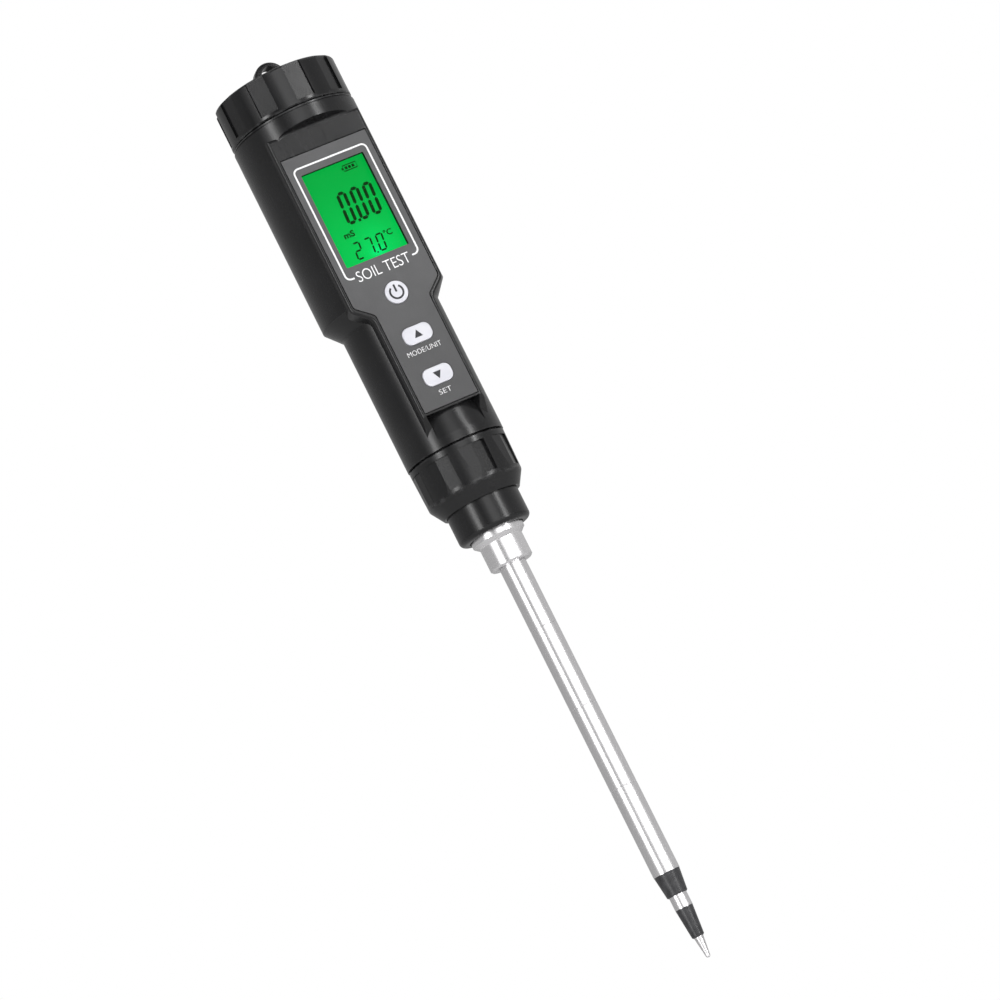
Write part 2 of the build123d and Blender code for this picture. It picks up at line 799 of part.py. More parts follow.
# Housing: one moulded tube with a ridge round its rim and a front pad
rim_shoulder = rim_top - rim_ridge_height - rim_groove_height
rim_radius = head_radius - rim_inset
rim_groove_radius = head_radius - rim_groove_depth
with BuildPart() as housing:
    with BuildSketch(Plane.XZ) as side_outline:
        with BuildLine():
            Polyline(
                (0, grip_bottom),
                (grip_radius, grip_bottom),
                (grip_radius, shoulder_bottom),
                (head_radius, shoulder_top),
                (head_radius, rim_shoulder),
                (rim_groove_radius, rim_shoulder),
                (rim_groove_radius, rim_top - rim_ridge_height),
                (rim_radius, rim_top - rim_ridge_height),
                (rim_radius, rim_top),
                (0, rim_top),
                close=True,
            )
        make_face()
        foot_corner = side_outline.vertices().sort_by_distance((grip_radius, shoulder_bottom))[0]
        edge_corner = side_outline.vertices().sort_by_distance((head_radius, shoulder_top))[0]
        rim_corner = side_outline.vertices().sort_by_distance((head_radius, rim_shoulder))[0]
        fillet(foot_corner, shoulder_foot_radius)
        fillet(edge_corner, shoulder_edge_radius)
        fillet(rim_corner, rim_edge_radius)
    revolve(axis=Axis.Z)
    add(arch_room.part, mode=Mode.SUBTRACT)
    add(pad.part)
    add(scoop_room.part, mode=Mode.SUBTRACT)
    with BuildSketch(Plane.XY.offset(spigot_bottom)):
        Circle(spigot_radius)
    extrude(amount=grip_bottom + cavity_step - spigot_bottom)
    with BuildSketch(Plane.XZ):
        for turn in range(thread_rings):
            with Locations((spigot_radius, spigot_bottom + spigot_thread_start + turn * thread_pitch)):
                Rectangle(2 * thread_depth, thread_pitch / 2)
            with Locations((neck_radius, rim_top - neck_thread_start - turn * thread_pitch)):
                Rectangle(2 * thread_depth, thread_pitch / 2)
    revolve(axis=Axis.Z, mode=Mode.SUBTRACT)
    add(cavity.part, mode=Mode.SUBTRACT)
    with BuildSketch(Plane.XZ.offset(pad_face)):
        add(label_pocket.sketch)
    extrude(amount=-label_recess, mode=Mode.SUBTRACT)
    with BuildSketch(Plane.XZ.offset(pad_face)):
        add(label_pocket.sketch)
        add(label_outline.sketch, mode=Mode.SUBTRACT)
    extrude(amount=-label_groove_depth, mode=Mode.SUBTRACT)
    with BuildSketch(Plane.XZ.offset(label_floor)):
        with Locations((0, window_z)):
            Rectangle(2 * (pane_half_width + glue_gap), window_height + 2 * (pane_border + glue_gap))
    extrude(amount=-(pane_thickness + glue_gap), mode=Mode.SUBTRACT)
    with BuildSketch(Plane.XZ.offset(label_floor)):
        with Locations((0, window_z)):
            Rectangle(2 * (window_half_width + window_gap), window_height + 2 * window_gap)
        with Locations((0, power_z)):
            Circle(power_radius + key_gap)
        with Locations((0, up_z), (0, down_z)):
            key_outline(key_gap)
    extrude(amount=-housing_wall, mode=Mode.SUBTRACT)
    with BuildSketch(Plane.XZ.offset(wall_inside)):
        with Locations((0, window_z)):
            Rectangle(2 * (holder_half_width + running_gap), holder_height + 2 * running_gap)
        with Locations((0, (down_z + power_z) / 2)):
            Rectangle(
                key_width + 2 * (key_flange + key_pocket_margin),
                power_z - down_z + 2 * (power_radius + key_flange + key_pocket_margin),
            )
    extrude(amount=-(wall_inside - board_front), mode=Mode.SUBTRACT)
housing.part.label = "housing"
export_step(housing.part, "parts/housing.step")

# Label overlay: printed sheet with holes for the window and the keys
with BuildPart() as label_overlay:
    with BuildSketch(Plane.XZ.offset(label_floor + glue_gap)):
        add(label_outline.sketch)
        with Locations((0, window_z)):
            RectangleRounded(2 * window_half_width, window_height, window_corner_radius, mode=Mode.SUBTRACT)
        with Locations((0, power_z)):
            Circle(power_radius + key_gap, mode=Mode.SUBTRACT)
        with Locations((0, up_z), (0, down_z)):
            RectangleRounded(
                key_width + 2 * key_gap,
                key_height + 2 * key_gap,
                key_corner_radius + key_gap,
                mode=Mode.SUBTRACT,
            )
    extrude(amount=label_thickness - glue_gap)
label_overlay.part.label = "label_overlay"
export_step(label_overlay.part, "parts/label_overlay.step")

# Display window: clear pane in its rebate under the label
with BuildPart() as display_window:
    with BuildSketch(Plane.XZ.offset(label_floor)):
        with Locations((0, window_z)):
            Rectangle(2 * pane_half_width, window_height + 2 * pane_border)
    extrude(amount=-pane_thickness)
display_window.part.label = "display_window"
export_step(display_window.part, "parts/display_window.step")

# LCD panel: front glass, and a shorter back glass that leaves the contact ledges free
back_glass_height = glass_height - 2 * (zebra_width + zebra_gap)
with BuildPart() as lcd_panel:
    with BuildSketch(Plane.XZ.offset(lcd_front)):
        with Locations((0, window_z)):
            Rectangle(2 * glass_half_width, glass_height)
    extrude(amount=lcd_ledge - lcd_front)
    with BuildSketch(Plane.XZ.offset(lcd_ledge)):
        with Locations((0, window_z)):
            Rectangle(2 * glass_half_width, back_glass_height)
    extrude(amount=lcd_back - lcd_ledge)
lcd_panel.part.label = "lcd_panel"
export_step(lcd_panel.part, "parts/lcd_panel.step")

# Backlight diffuser behind the LCD
with BuildPart() as backlight_diffuser:
    with BuildSketch(Plane.XZ.offset(diffuser_front)):
        with Locations((0, window_z)):
            Rectangle(2 * (glass_half_width - diffuser_inset), back_glass_height - diffuser_inset)
    extrude(amount=-diffuser_thickness)
    fillet(backlight_diffuser.edges().filter_by(Axis.Y), diffuser_corner_radius)
backlight_diffuser.part.label = "backlight_diffuser"
export_step(backlight_diffuser.part, "parts/backlight_diffuser.step")

# Zebra strips: conductive rubber from the LCD's ledges to the board
zebra_offset = (glass_height - zebra_width) / 2
with BuildPart() as zebra_strips:
    with BuildSketch(Plane.XZ.offset(lcd_ledge - glue_gap)):
        with Locations((0, window_z + zebra_offset), (0, window_z - zebra_offset)):
            Rectangle(2 * (glass_half_width - zebra_inset), zebra_width)
    extrude(amount=board_front + 2 * glue_gap - lcd_ledge)
zebra_strips.part.label = "zebra_strips"
export_step(zebra_strips.part, "parts/zebra_strips.step")

# LCD holder: frame round the glass that stands on the board
with BuildPart() as lcd_holder:
    with BuildSketch(Plane.XZ.offset(lcd_front)):
        with Locations((0, window_z)):
            Rectangle(2 * holder_half_width, holder_height)
            Rectangle(
                2 * (glass_half_width + running_gap),
                glass_height + 2 * running_gap,
                mode=Mode.SUBTRACT,
            )
    extrude(amount=board_front + glue_gap - lcd_front)
lcd_holder.part.label = "lcd_holder"
export_step(lcd_holder.part, "parts/lcd_holder.step")

# Circuit board: wide behind the display, narrow behind the keys
board_bottom = down_z - board_foot
board_top = window_z + holder_height / 2
board_step = shoulder_top + board_step_gap
board_upper_half_width = glass_half_width + board_upper_margin
board_lower_half_width = sqrt(grip_cavity_radius**2 - board_front**2) - board_side_gap
upper_screw_z = shoulder_top + upper_screw_rise
lower_screw_z = down_z - lower_screw_drop
screw_places = [
    (-upper_screw_column, upper_screw_z),
    (upper_screw_column, upper_screw_z),
    (-lower_screw_column, lower_screw_z),
    (lower_screw_column, lower_screw_z),
]
with BuildPart() as circuit_board:
    with BuildSketch(Plane.XZ.offset(board_front)):
        with Locations((0, (board_step + board_top) / 2)):
            Rectangle(2 * board_upper_half_width, board_top - board_step)
        with Locations((0, (board_bottom + board_step) / 2)):
            Rectangle(2 * board_lower_half_width, board_step - board_bottom)
        with Locations(*screw_places):
            Circle(screw_radius + screw_hole_gap, mode=Mode.SUBTRACT)
    extrude(amount=-board_thickness)
circuit_board.part.label = "circuit_board"
export_step(circuit_board.part, "parts/circuit_board.step")

# Board components on the back of the board
with BuildPart() as board_components:
    with BuildSketch(Plane.XZ.offset(board_back - glue_gap)):
        with Locations((0, up_z)):
            Rectangle(chip_side, chip_side)
        with Locations((-driver_column, down_z), (driver_column, down_z)):
            Rectangle(driver_width, driver_length)
        with Locations((0, down_z)):
            Rectangle(crystal_width, crystal_length)
    extrude(amount=-chip_height)
board_components.part.label = "board_components"
export_step(board_components.part, "parts/board_components.step")

# Tact switches, one under each key
switch_body_front = switch_front - switch_stem_height
with BuildPart() as tact_switches:
    with BuildSketch(Plane.XZ.offset(board_front + glue_gap)):
        with Locations((0, power_z), (0, up_z), (0, down_z)):
            RectangleRounded(switch_side, switch_side, switch_corner_radius)
    extrude(amount=switch_body_front - board_front - glue_gap)
    with BuildSketch(Plane.XZ.offset(switch_body_front)):
        with Locations((0, power_z), (0, up_z), (0, down_z)):
            Circle(switch_stem_radius)
    extrude(amount=switch_stem_height)
tact_switches.part.label = "tact_switches"
export_step(tact_switches.part, "parts/tact_switches.step")

# Keys: a cap through the label, a flange behind the wall and a plunger over the switch
key_places = {"power_button": power_z, "up_button": up_z, "down_button": down_z}
for key_name, key_z in key_places.items():
    with BuildPart() as key:
        with BuildSketch(Plane.XZ.offset(key_back)):
            with Locations((0, key_z)):
                if key_name == "power_button":
                    Circle(power_radius)
                else:
                    key_outline(0)
        extrude(amount=key_front - key_back)
        fillet(key.faces().sort_by(Axis.Y)[0].edges(), key_edge_radius)
        with BuildSketch(Plane.XZ.offset(key_back)):
            with Locations((0, key_z)):
                if key_name == "power_button":
                    Circle(power_radius + key_flange)
                else:
                    key_outline(key_flange)
        extrude(amount=key_flange_thickness)
        with BuildSketch(Plane.XZ.offset(key_back)):
            with Locations((0, key_z)):
                Circle(key_plunger_radius)
        extrude(amount=-key_plunger_length)
    key.part.label = key_name
    export_step(key.part, f"parts/{key_name}.step")

# Board carrier: plate behind the board, with bosses for the screws and a shelf for the battery tube
cells_top = rim_top - cells_drop
cells_bottom = cells_top - cell_count * cell_height
tube_bottom = cells_bottom - tube_floor - 2 * contact_thickness - contact_room
tube_top = cells_top - tube_exposed_cell
shelf_top = tube_bottom - glue_gap
carrier_upper_half_width = sqrt(head_cavity_radius**2 - carrier_front**2) - carrier_upper_gap
carrier_lower_half_width = sqrt(grip_cavity_radius**2 - carrier_front**2) - carrier_lower_gap
with BuildPart() as board_carrier:
    with BuildSketch(Plane.XZ.offset(carrier_front)):
        with Locations((0, (board_step + shelf_top) / 2)):
            Rectangle(2 * carrier_upper_half_width, shelf_top - board_step)
        with Locations((0, (board_bottom + board_step) / 2)):
            Rectangle(2 * carrier_lower_half_width, board_step - board_bottom)
        with Locations((0, (up_z + down_z) / 2)):
            Rectangle(carrier_window_width, up_z - down_z + 2 * carrier_window_margin, mode=Mode.SUBTRACT)
    extrude(amount=-carrier_thickness)
    with BuildSketch(Plane.XY.offset(shelf_top)):
        with Locations((0, carrier_shelf_depth / 2 - carrier_back)):
            Rectangle(2 * tube_radius, carrier_shelf_depth)
    extrude(amount=-carrier_shelf_thickness)
    with BuildSketch(Plane.XZ.offset(carrier_back)):
        with Locations(*screw_places):
            Circle(screw_boss_radius)
    extrude(amount=-screw_boss_height)
    with BuildSketch(Plane.XZ.offset(carrier_front)):
        with Locations(*screw_places):
            Circle(screw_radius + glue_gap)
    extrude(amount=-(carrier_thickness + screw_boss_height - screw_boss_floor), mode=Mode.SUBTRACT)
board_carrier.part.label = "board_carrier"
export_step(board_carrier.part, "parts/board_carrier.step")

# Screws that hold the board to the carrier
with BuildPart() as carrier_screws:
    with BuildSketch(Plane.XZ.offset(board_front + glue_gap)):
        with Locations(*screw_places):
            Circle(screw_head_radius)
    extrude(amount=screw_head_height)
    with BuildSketch(Plane.XZ.offset(board_front + glue_gap)):
        with Locations(*screw_places):
            Circle(screw_radius)
    extrude(amount=-(board_thickness + running_gap + screw_length))
carrier_screws.part.label = "carrier_screws"
export_step(carrier_screws.part, "parts/carrier_screws.step")

# Battery tube with a flange that centres it in the neck
tube_flange_bottom = head_cavity_top + 2 * running_gap
cap_spigot_bottom = rim_top - cap_spigot_length
with BuildPart() as battery_tube:
    with BuildSketch(Plane.XY.offset(tube_bottom)):
        Circle(tube_radius)
    extrude(amount=tube_top - tube_bottom)
    with BuildSketch(Plane.XY.offset(tube_flange_bottom)):
        Circle(neck_radius - running_gap)
    extrude(amount=cap_spigot_bottom - tube_flange_gap - tube_flange_bottom)
    with BuildSketch(Plane.XY.offset(tube_bottom + tube_floor)):
        Circle(tube_bore_radius)
    extrude(amount=tube_top - tube_bottom, mode=Mode.SUBTRACT)
battery_tube.part.label = "battery_tube"
export_step(battery_tube.part, "parts/battery_tube.step")

# Button cells, stacked
with BuildPart() as button_cells:
    for cell in range(cell_count):
        with BuildSketch(Plane.XY.offset(cells_bottom + cell * cell_height + cell_gap)):
            Circle(cell_radius)
        extrude(amount=cell_height - 2 * cell_gap)
    fillet(button_cells.edges(), cell_edge_radius)
button_cells.part.label = "button_cells"
export_step(button_cells.part, "parts/button_cells.step")

# Negative contact: disc with a domed middle under the lowest cell
contact_bottom = tube_bottom + tube_floor + glue_gap
with BuildPart() as negative_contact:
    with BuildSketch(Plane.XY.offset(contact_bottom)):
        Circle(tube_bore_radius - contact_inset)
    extrude(amount=contact_thickness)
    with BuildSketch(Plane.XY.offset(contact_bottom + contact_thickness)):
        Circle(cell_radius * contact_dome_share)
    extrude(amount=contact_dome_height, taper=contact_dome_taper)
negative_contact.part.label = "negative_contact"
export_step(negative_contact.part, "parts/negative_contact.step")

# Contact plate that presses on the top cell
plate_bottom = cells_top + cell_gap
with BuildPart() as contact_plate:
    with BuildSketch(Plane.XY.offset(plate_bottom)):
        Circle(cell_radius - plate_inset)
    extrude(amount=contact_thickness)
    with BuildSketch(Plane.XY.offset(plate_bottom + contact_thickness)):
        Circle(spring_radius - spring_wire_radius - plate_boss_gap)
    extrude(amount=plate_boss_height)
contact_plate.part.label = "contact_plate"
export_step(contact_plate.part, "parts/contact_plate.step")

# Contact spring between the plate and the cap's ceiling
ceiling_z = cap_bottom + cap_ceiling
spring_low = plate_bottom + contact_thickness + spring_wire_radius + glue_gap
spring_high = ceiling_z - spring_wire_radius - face_gap
spring_height = spring_high - spring_low
with BuildPart() as contact_spring:
    with BuildLine() as coil:
        Helix(spring_height / spring_coils, spring_height, spring_radius, (0, 0, spring_low))
    with BuildSketch(Plane(coil.line @ 0, z_dir=coil.line % 0)):
        Circle(spring_wire_radius)
    sweep(path=coil.line, is_frenet=True)
contact_spring.part.label = "contact_spring"
export_step(contact_spring.part, "parts/contact_spring.step")

# Battery cap: fluted knob, threaded spigot with an O-ring groove, moulded lanyard eyelet
cap_ring_z = rim_top - cap_ring_drop
cap_ring_radius = neck_radius - ring_gap - o_ring_section_radius
flute_distance = cap_radius - cap_flute_depth
flute_width = 2 * flute_distance * tan(radians(90 / cap_flute_count))
eyelet_arch_z = eyelet_top - eyelet_width / 2
with BuildPart() as battery_cap:
    with BuildSketch(Plane.XZ):
        with BuildLine():
            cap_face = Line((0, cap_top), (cap_radius - cap_edge_radius, cap_top))
            top_arc = RadiusArc(cap_face @ 1, (cap_radius, cap_top - cap_edge_radius), cap_edge_radius)
            Polyline(
                top_arc @ 1,
                (cap_radius, cap_bottom + cap_foot_edge),
                (cap_radius - cap_foot_edge, cap_bottom),
                (cap_spigot_radius, cap_bottom),
                (cap_spigot_radius, cap_spigot_bottom),
                (cap_cavity_radius, cap_spigot_bottom),
                (cap_cavity_radius, ceiling_z),
                (0, ceiling_z),
                cap_face @ 0,
            )
        make_face()
    revolve(axis=Axis.Z)
    with BuildSketch(Plane.XY.offset(cap_bottom + cap_skirt_height)):
        with PolarLocations(0, cap_flute_count, cap_flute_centre):
            with Locations((flute_distance + cap_flute_tool / 2, 0)):
                Rectangle(cap_flute_tool, flute_width)
    extrude(amount=cap_height, mode=Mode.SUBTRACT)
    with BuildSketch(Plane.XZ.offset(-eyelet_depth / 2)):
        with Locations((0, eyelet_arch_z)):
            Circle(eyelet_width / 2)
        with Locations((0, (eyelet_arch_z + cap_top - eyelet_root) / 2)):
            Rectangle(eyelet_width, eyelet_arch_z - cap_top + eyelet_root)
    extrude(amount=eyelet_depth)
    round_edges = battery_cap.edges().filter_by(GeomType.CIRCLE)
    eyelet_rims = round_edges.filter_by(lambda edge: abs(edge.radius - eyelet_width / 2) < glue_gap)
    fillet(eyelet_rims, eyelet_edge_radius)
    with BuildSketch(Plane.XZ.offset(-eyelet_depth)):
        with Locations((0, eyelet_top - eyelet_band - eyelet_hole_radius)):
            Circle(eyelet_hole_radius)
    extrude(amount=2 * eyelet_depth, mode=Mode.SUBTRACT)
    with BuildSketch(Plane.XY.offset(cap_ring_z - ring_groove_height / 2)):
        Circle(neck_radius)
        Circle(cap_ring_radius - o_ring_section_radius - glue_gap, mode=Mode.SUBTRACT)
    extrude(amount=ring_groove_height, mode=Mode.SUBTRACT)
    with BuildSketch(Plane.XZ):
        for turn in range(cap_thread_rings):
            with Locations((cap_spigot_radius, cap_spigot_bottom + cap_thread_start + turn * thread_pitch)):
                Rectangle(2 * thread_depth, thread_pitch / 2)
    revolve(axis=Axis.Z, mode=Mode.SUBTRACT)
battery_cap.part.label = "battery_cap"
export_step(battery_cap.part, "parts/battery_cap.step")

# O-ring on the cap's spigot
with BuildPart() as cap_o_ring:
    with BuildSketch(Plane.XZ):
        with Locations((cap_ring_radius, cap_ring_z)):
            Circle(o_ring_section_radius)
    revolve(axis=Axis.Z)
cap_o_ring.part.label = "cap_o_ring"
export_step(cap_o_ring.part, "parts/cap_o_ring.step")

print("cap lift", cap_turns * thread_pitch, "nut lift", nut_turns * thread_pitch, "total", eyelet_top)
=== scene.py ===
import json
import math

import bmesh
import bpy
from mathutils import Matrix, Vector


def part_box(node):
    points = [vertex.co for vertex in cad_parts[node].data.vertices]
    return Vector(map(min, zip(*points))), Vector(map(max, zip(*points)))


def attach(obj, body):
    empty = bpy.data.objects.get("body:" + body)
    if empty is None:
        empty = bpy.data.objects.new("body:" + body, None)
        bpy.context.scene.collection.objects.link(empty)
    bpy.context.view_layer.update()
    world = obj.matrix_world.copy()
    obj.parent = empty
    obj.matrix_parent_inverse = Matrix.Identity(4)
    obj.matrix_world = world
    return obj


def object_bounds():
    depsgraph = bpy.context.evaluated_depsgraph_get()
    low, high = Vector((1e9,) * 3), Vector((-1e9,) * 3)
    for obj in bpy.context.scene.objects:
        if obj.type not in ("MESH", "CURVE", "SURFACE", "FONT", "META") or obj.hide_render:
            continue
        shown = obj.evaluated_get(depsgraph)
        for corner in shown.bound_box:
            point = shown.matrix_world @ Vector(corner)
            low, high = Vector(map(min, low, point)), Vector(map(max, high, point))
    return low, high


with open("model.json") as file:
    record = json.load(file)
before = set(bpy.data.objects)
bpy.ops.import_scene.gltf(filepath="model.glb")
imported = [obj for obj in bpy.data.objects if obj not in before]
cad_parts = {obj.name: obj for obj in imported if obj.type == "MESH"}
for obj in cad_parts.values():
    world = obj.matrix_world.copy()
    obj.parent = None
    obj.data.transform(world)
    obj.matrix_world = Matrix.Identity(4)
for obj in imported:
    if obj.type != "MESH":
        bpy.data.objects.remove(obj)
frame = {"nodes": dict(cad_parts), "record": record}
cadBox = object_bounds()
nodes = frame["nodes"]
mm = 0.001


# Shader sums: a Field is a socket, and an expression on Fields adds its Math nodes
class Field:
    def __init__(self, shade, socket):
        self.shade = shade
        self.socket = socket

    def sum(self, operation, first, second=0.0):
        return self.shade.sum(operation, first, second)

    def __add__(self, other):
        return self.sum("ADD", self, other)

    def __radd__(self, other):
        return self.sum("ADD", other, self)

    def __sub__(self, other):
        return self.sum("SUBTRACT", self, other)

    def __rsub__(self, other):
        return self.sum("SUBTRACT", other, self)

    def __mul__(self, other):
        return self.sum("MULTIPLY", self, other)

    def __rmul__(self, other):
        return self.sum("MULTIPLY", other, self)

    def __truediv__(self, other):
        return self.sum("DIVIDE", self, other)

    def __pow__(self, other):
        return self.sum("POWER", self, other)

    def absolute(self):
        return self.sum("ABSOLUTE", self)

    def most(self, other):
        return self.sum("MAXIMUM", self, other)

    # start below low, end above high, smooth between
    def ramp(self, low, high, start=0.0, end=1.0):
        return self.shade.node(
            "ShaderNodeMapRange", {"interpolation_type": "SMOOTHSTEP"},
            {"Value": self, "From Min": low, "From Max": high, "To Min": start, "To Max": end})


socketNames = {
    "base": "Base Color", "rough": "Roughness", "metal": "Metallic", "normal": "Normal",
    "ior": "IOR", "coat": "Coat Weight", "glow": "Emission Color",
    "glowPower": "Emission Strength", "alpha": "Alpha", "specular": "Specular IOR Level",
    "light": "Color",
}


# One material, or the world, and the nodes that make its looks
class Shade:
    def __init__(self, name, world=False):
        self.material = (bpy.data.worlds if world else bpy.data.materials).new(name)
        self.material.use_nodes = True
        self.tree = self.material.node_tree
        self.surface = self.tree.nodes["Background" if world else "Principled BSDF"]
        self.place = self.node("ShaderNodeTexCoord", {}, {}, "Generated" if world else "Object")
        self.x, self.y, self.z = [
            self.node("ShaderNodeSeparateXYZ", {}, {0: self.place}, axis) for axis in "XYZ"]

    # any node: its type, its settings, then the values or links of its sockets
    def node(self, kind, settings, inputs, output=0):
        made = self.tree.nodes.new(kind)
        for key, value in settings.items():
            if key == "stops":
                self.setStops(made.color_ramp, value)
            else:
                setattr(made, key, value)
        for key, value in inputs.items():
            if isinstance(value, Field):
                self.tree.links.new(value.socket, made.inputs[key])
            else:
                made.inputs[key].default_value = value
        return Field(self, made.outputs[output])

    def sum(self, operation, first, second=0.0):
        return self.node("ShaderNodeMath", {"operation": operation}, {0: first, 1: second})

    def setStops(self, ramp, stops):
        while len(ramp.elements) < len(stops):
            ramp.elements.new(0.5)
        for element, (position, tint) in zip(ramp.elements, stops):
            element.position = position
            element.color = (*tint, 1.0)

    def stretched(self, x, y, z):
        return self.node(
            "ShaderNodeVectorMath", {"operation": "MULTIPLY"}, {0: self.place, 1: (x, y, z)})

    def noise(self, scale, detail=2.0, rough=0.5, place=None):
        return self.node(
            "ShaderNodeTexNoise", {},
            {"Vector": place or self.place, "Scale": scale, "Detail": detail, "Roughness": rough},
            "Fac")

    def pits(self, scale):
        return self.node(
            "ShaderNodeTexVoronoi", {}, {"Vector": self.place, "Scale": scale}, "Distance")

    def blend(self, mask, low, high):  # two colours
        low, high = [tint if isinstance(tint, Field) else (*tint, 1.0) for tint in (low, high)]
        return self.node("ShaderNodeMix", {"data_type": "RGBA"}, {0: mask, 6: low, 7: high}, 2)

    def band(self, level, width):  # 1 at a height, fading over width
        return (self.z - level).absolute().ramp(0.0, width, 1.0, 0.0)

    def seen(self):  # 1 for what the camera sees, 0 for what lights or mirrors
        return self.node("ShaderNodeLightPath", {}, {}, "Is Camera Ray")

    def relief(self, height, strength, depth):
        return self.node(
            "ShaderNodeBump", {}, {"Height": height, "Strength": strength, "Distance": depth})

    def finish(self, **sockets):
        for key, value in sockets.items():
            socket = self.surface.inputs[socketNames[key]]
            if isinstance(value, Field):
                self.tree.links.new(value.socket, socket)
            elif isinstance(value, tuple):
                socket.default_value = (*value, 1.0)
            else:
                socket.default_value = value
        return self.material


# Levels that the materials and the prints line up with
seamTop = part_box("housing")[1].z
nutLow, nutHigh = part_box("coupling_nut")
lcdLow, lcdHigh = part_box("lcd_panel")
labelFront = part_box("label_overlay")[0].y
lcdFront = lcdLow.y
print("frame loaded")


def scaled(values, share):
    return tuple(share * value for value in values)


# moulded parts: colour, base roughness, grain size and depth, and the levels of worn edges, which
# are lightened partly as painted highlight
housingLook = {"tint": (0.0060, 0.0060, 0.0064), "gloss": 0.19, "grainSize": 0.16 * mm,
               "grainDepth": 0.011 * mm, "worn": [seamTop, nutHigh.z, nutLow.z + 4.2 * mm]}
capLook = {"tint": (0.005, 0.005, 0.0054), "gloss": 0.13, "grainSize": 0.2 * mm,
           "grainDepth": 0.006 * mm, "worn": [seamTop + 0.3 * mm, seamTop + 12.6 * mm]}
# for both: shine, the colour, share and width of the worn edges with their painted highlight, and
# the lighter clouds
mouldedLook = {"specular": 0.4, "wornAndHighlightTint": (0.09, 0.09, 0.092), "wornAndHighlightShare": 0.35,
               "wornAndHighlightWidth": 0.9 * mm, "cloudLight": 1.35}


def mouldedBlack(name, look):
    shade = Shade(name)
    grain = shade.noise(1 / look["grainSize"], 3.0, 0.6)
    cloud = shade.noise(70.0, 3.0, 0.55)
    flow = shade.noise(300.0, 2.0, 0.5, shade.stretched(1.0, 1.0, 0.12))
    scuff = shade.noise(900.0, 3.0, 0.7, shade.stretched(1.0, 1.0, 0.05)).ramp(0.62, 0.74)
    # lighter bands at the edge levels: partly wear, partly a painted highlight along the lit
    # edges
    rubAndHighlight = 0.0
    for level in look["worn"]:
        rubAndHighlight = shade.band(level, mouldedLook["wornAndHighlightWidth"]).most(rubAndHighlight)
    rubAndHighlight = rubAndHighlight * shade.noise(420.0, 3.0, 0.6).ramp(0.42, 0.62)
    base = shade.blend(
        cloud.ramp(0.35, 0.7), look["tint"], scaled(look["tint"], mouldedLook["cloudLight"]))
    # the worn edges with their painted highlight, in a lighter grey
    base = shade.blend(rubAndHighlight * mouldedLook["wornAndHighlightShare"], base, mouldedLook["wornAndHighlightTint"])
    rough = look["gloss"] + 0.07 * cloud + 0.05 * grain - 0.08 * scuff - 0.06 * rubAndHighlight + 0.03 * flow
    return shade.finish(
        base=base, rough=rough, specular=mouldedLook["specular"],
        normal=shade.relief(grain, 0.35, look["grainDepth"]))


# printed sheet: two greys, light flecks, and a darker lower end between two levels
labelLook = {"dark": (0.054, 0.054, 0.056), "light": (0.066, 0.066, 0.068),
             "fleck": (0.16, 0.16, 0.165), "fleckShare": 0.35,
             "lowTint": (0.036, 0.036, 0.037), "lowShare": 0.8,
             "lowLevel": 166.0 * mm, "highLevel": 224.0 * mm}


def labelSheet():
    shade = Shade("labelSheet")
    grain = shade.noise(7000.0, 2.0, 0.6)
    cloud = shade.noise(90.0, 3.0, 0.5)
    fingers = shade.noise(260.0, 3.0, 0.6).ramp(0.5, 0.75)
    low = shade.z.ramp(labelLook["lowLevel"], labelLook["highLevel"], labelLook["lowShare"], 0.0)
    base = shade.blend(cloud.ramp(0.3, 0.7), labelLook["dark"], labelLook["light"])
    base = shade.blend(low, base, labelLook["lowTint"])
    base = shade.blend(grain.ramp(0.35, 0.75) * labelLook["fleckShare"], base, labelLook["fleck"])
    return shade.finish(
        base=base, rough=0.5 + 0.12 * grain - 0.08 * fingers,
        normal=shade.relief(grain, 0.4, 0.012 * mm))


def printInk(name, tint, shine):
    shade = Shade(name)
    speck = shade.noise(5200.0, 2.0, 0.6)
    base = shade.blend(speck.ramp(0.3, 0.7), tint, scaled(tint, 0.9))
    return shade.finish(
        base=base, rough=0.45 + 0.1 * speck, specular=shine,
        normal=shade.relief(speck, 0.2, 0.004 * mm))


# keys: two whites, and the least weight of their clear coat
keyLook = {"light": (0.64, 0.64, 0.68), "dark": (0.59, 0.59, 0.64), "coat": 0.15}


def whiteKey():
    shade = Shade("whiteKey")
    grain = shade.noise(4200.0, 2.0, 0.6)
    cloud = shade.noise(220.0, 2.0, 0.5)
    base = shade.blend(cloud.ramp(0.3, 0.7), keyLook["light"], keyLook["dark"])
    return shade.finish(
        base=base, rough=0.4 + 0.1 * grain, coat=keyLook["coat"] + 0.1 * cloud,
        normal=shade.relief(grain, 0.25, 0.008 * mm))


# window: tint, refraction, and the least that it veils the display
paneLook = {"tint": (0.02, 0.03, 0.025), "ior": 1.49, "veil": 0.03}


def clearPane():
    shade = Shade("clearPane")
    smear = shade.noise(180.0, 3.0, 0.6)
    return shade.finish(
        base=paneLook["tint"], rough=0.02 + 0.05 * smear.ramp(0.5, 0.8), ior=paneLook["ior"],
        alpha=paneLook["veil"] + 0.02 * smear.ramp(0.55, 0.85))


# lit display: darker green at the top, a wide glow and a bright spot low in the middle
litDisplay = {"glowAt": (1.6 * mm, 219.0 * mm), "glowSize": 9.0 * mm, "spotSize": 3.6 * mm,
              "low": (0.0, 0.60, 0.085), "high": (0.0, 0.42, 0.050), "glow": (0.0, 0.86, 0.15),
              "spot": (0.0, 1.0, 0.24), "dots": (0.0, 0.35, 0.05), "unlit": (0.0, 0.02, 0.004),
              "power": 1.0, "specular": 0.03}


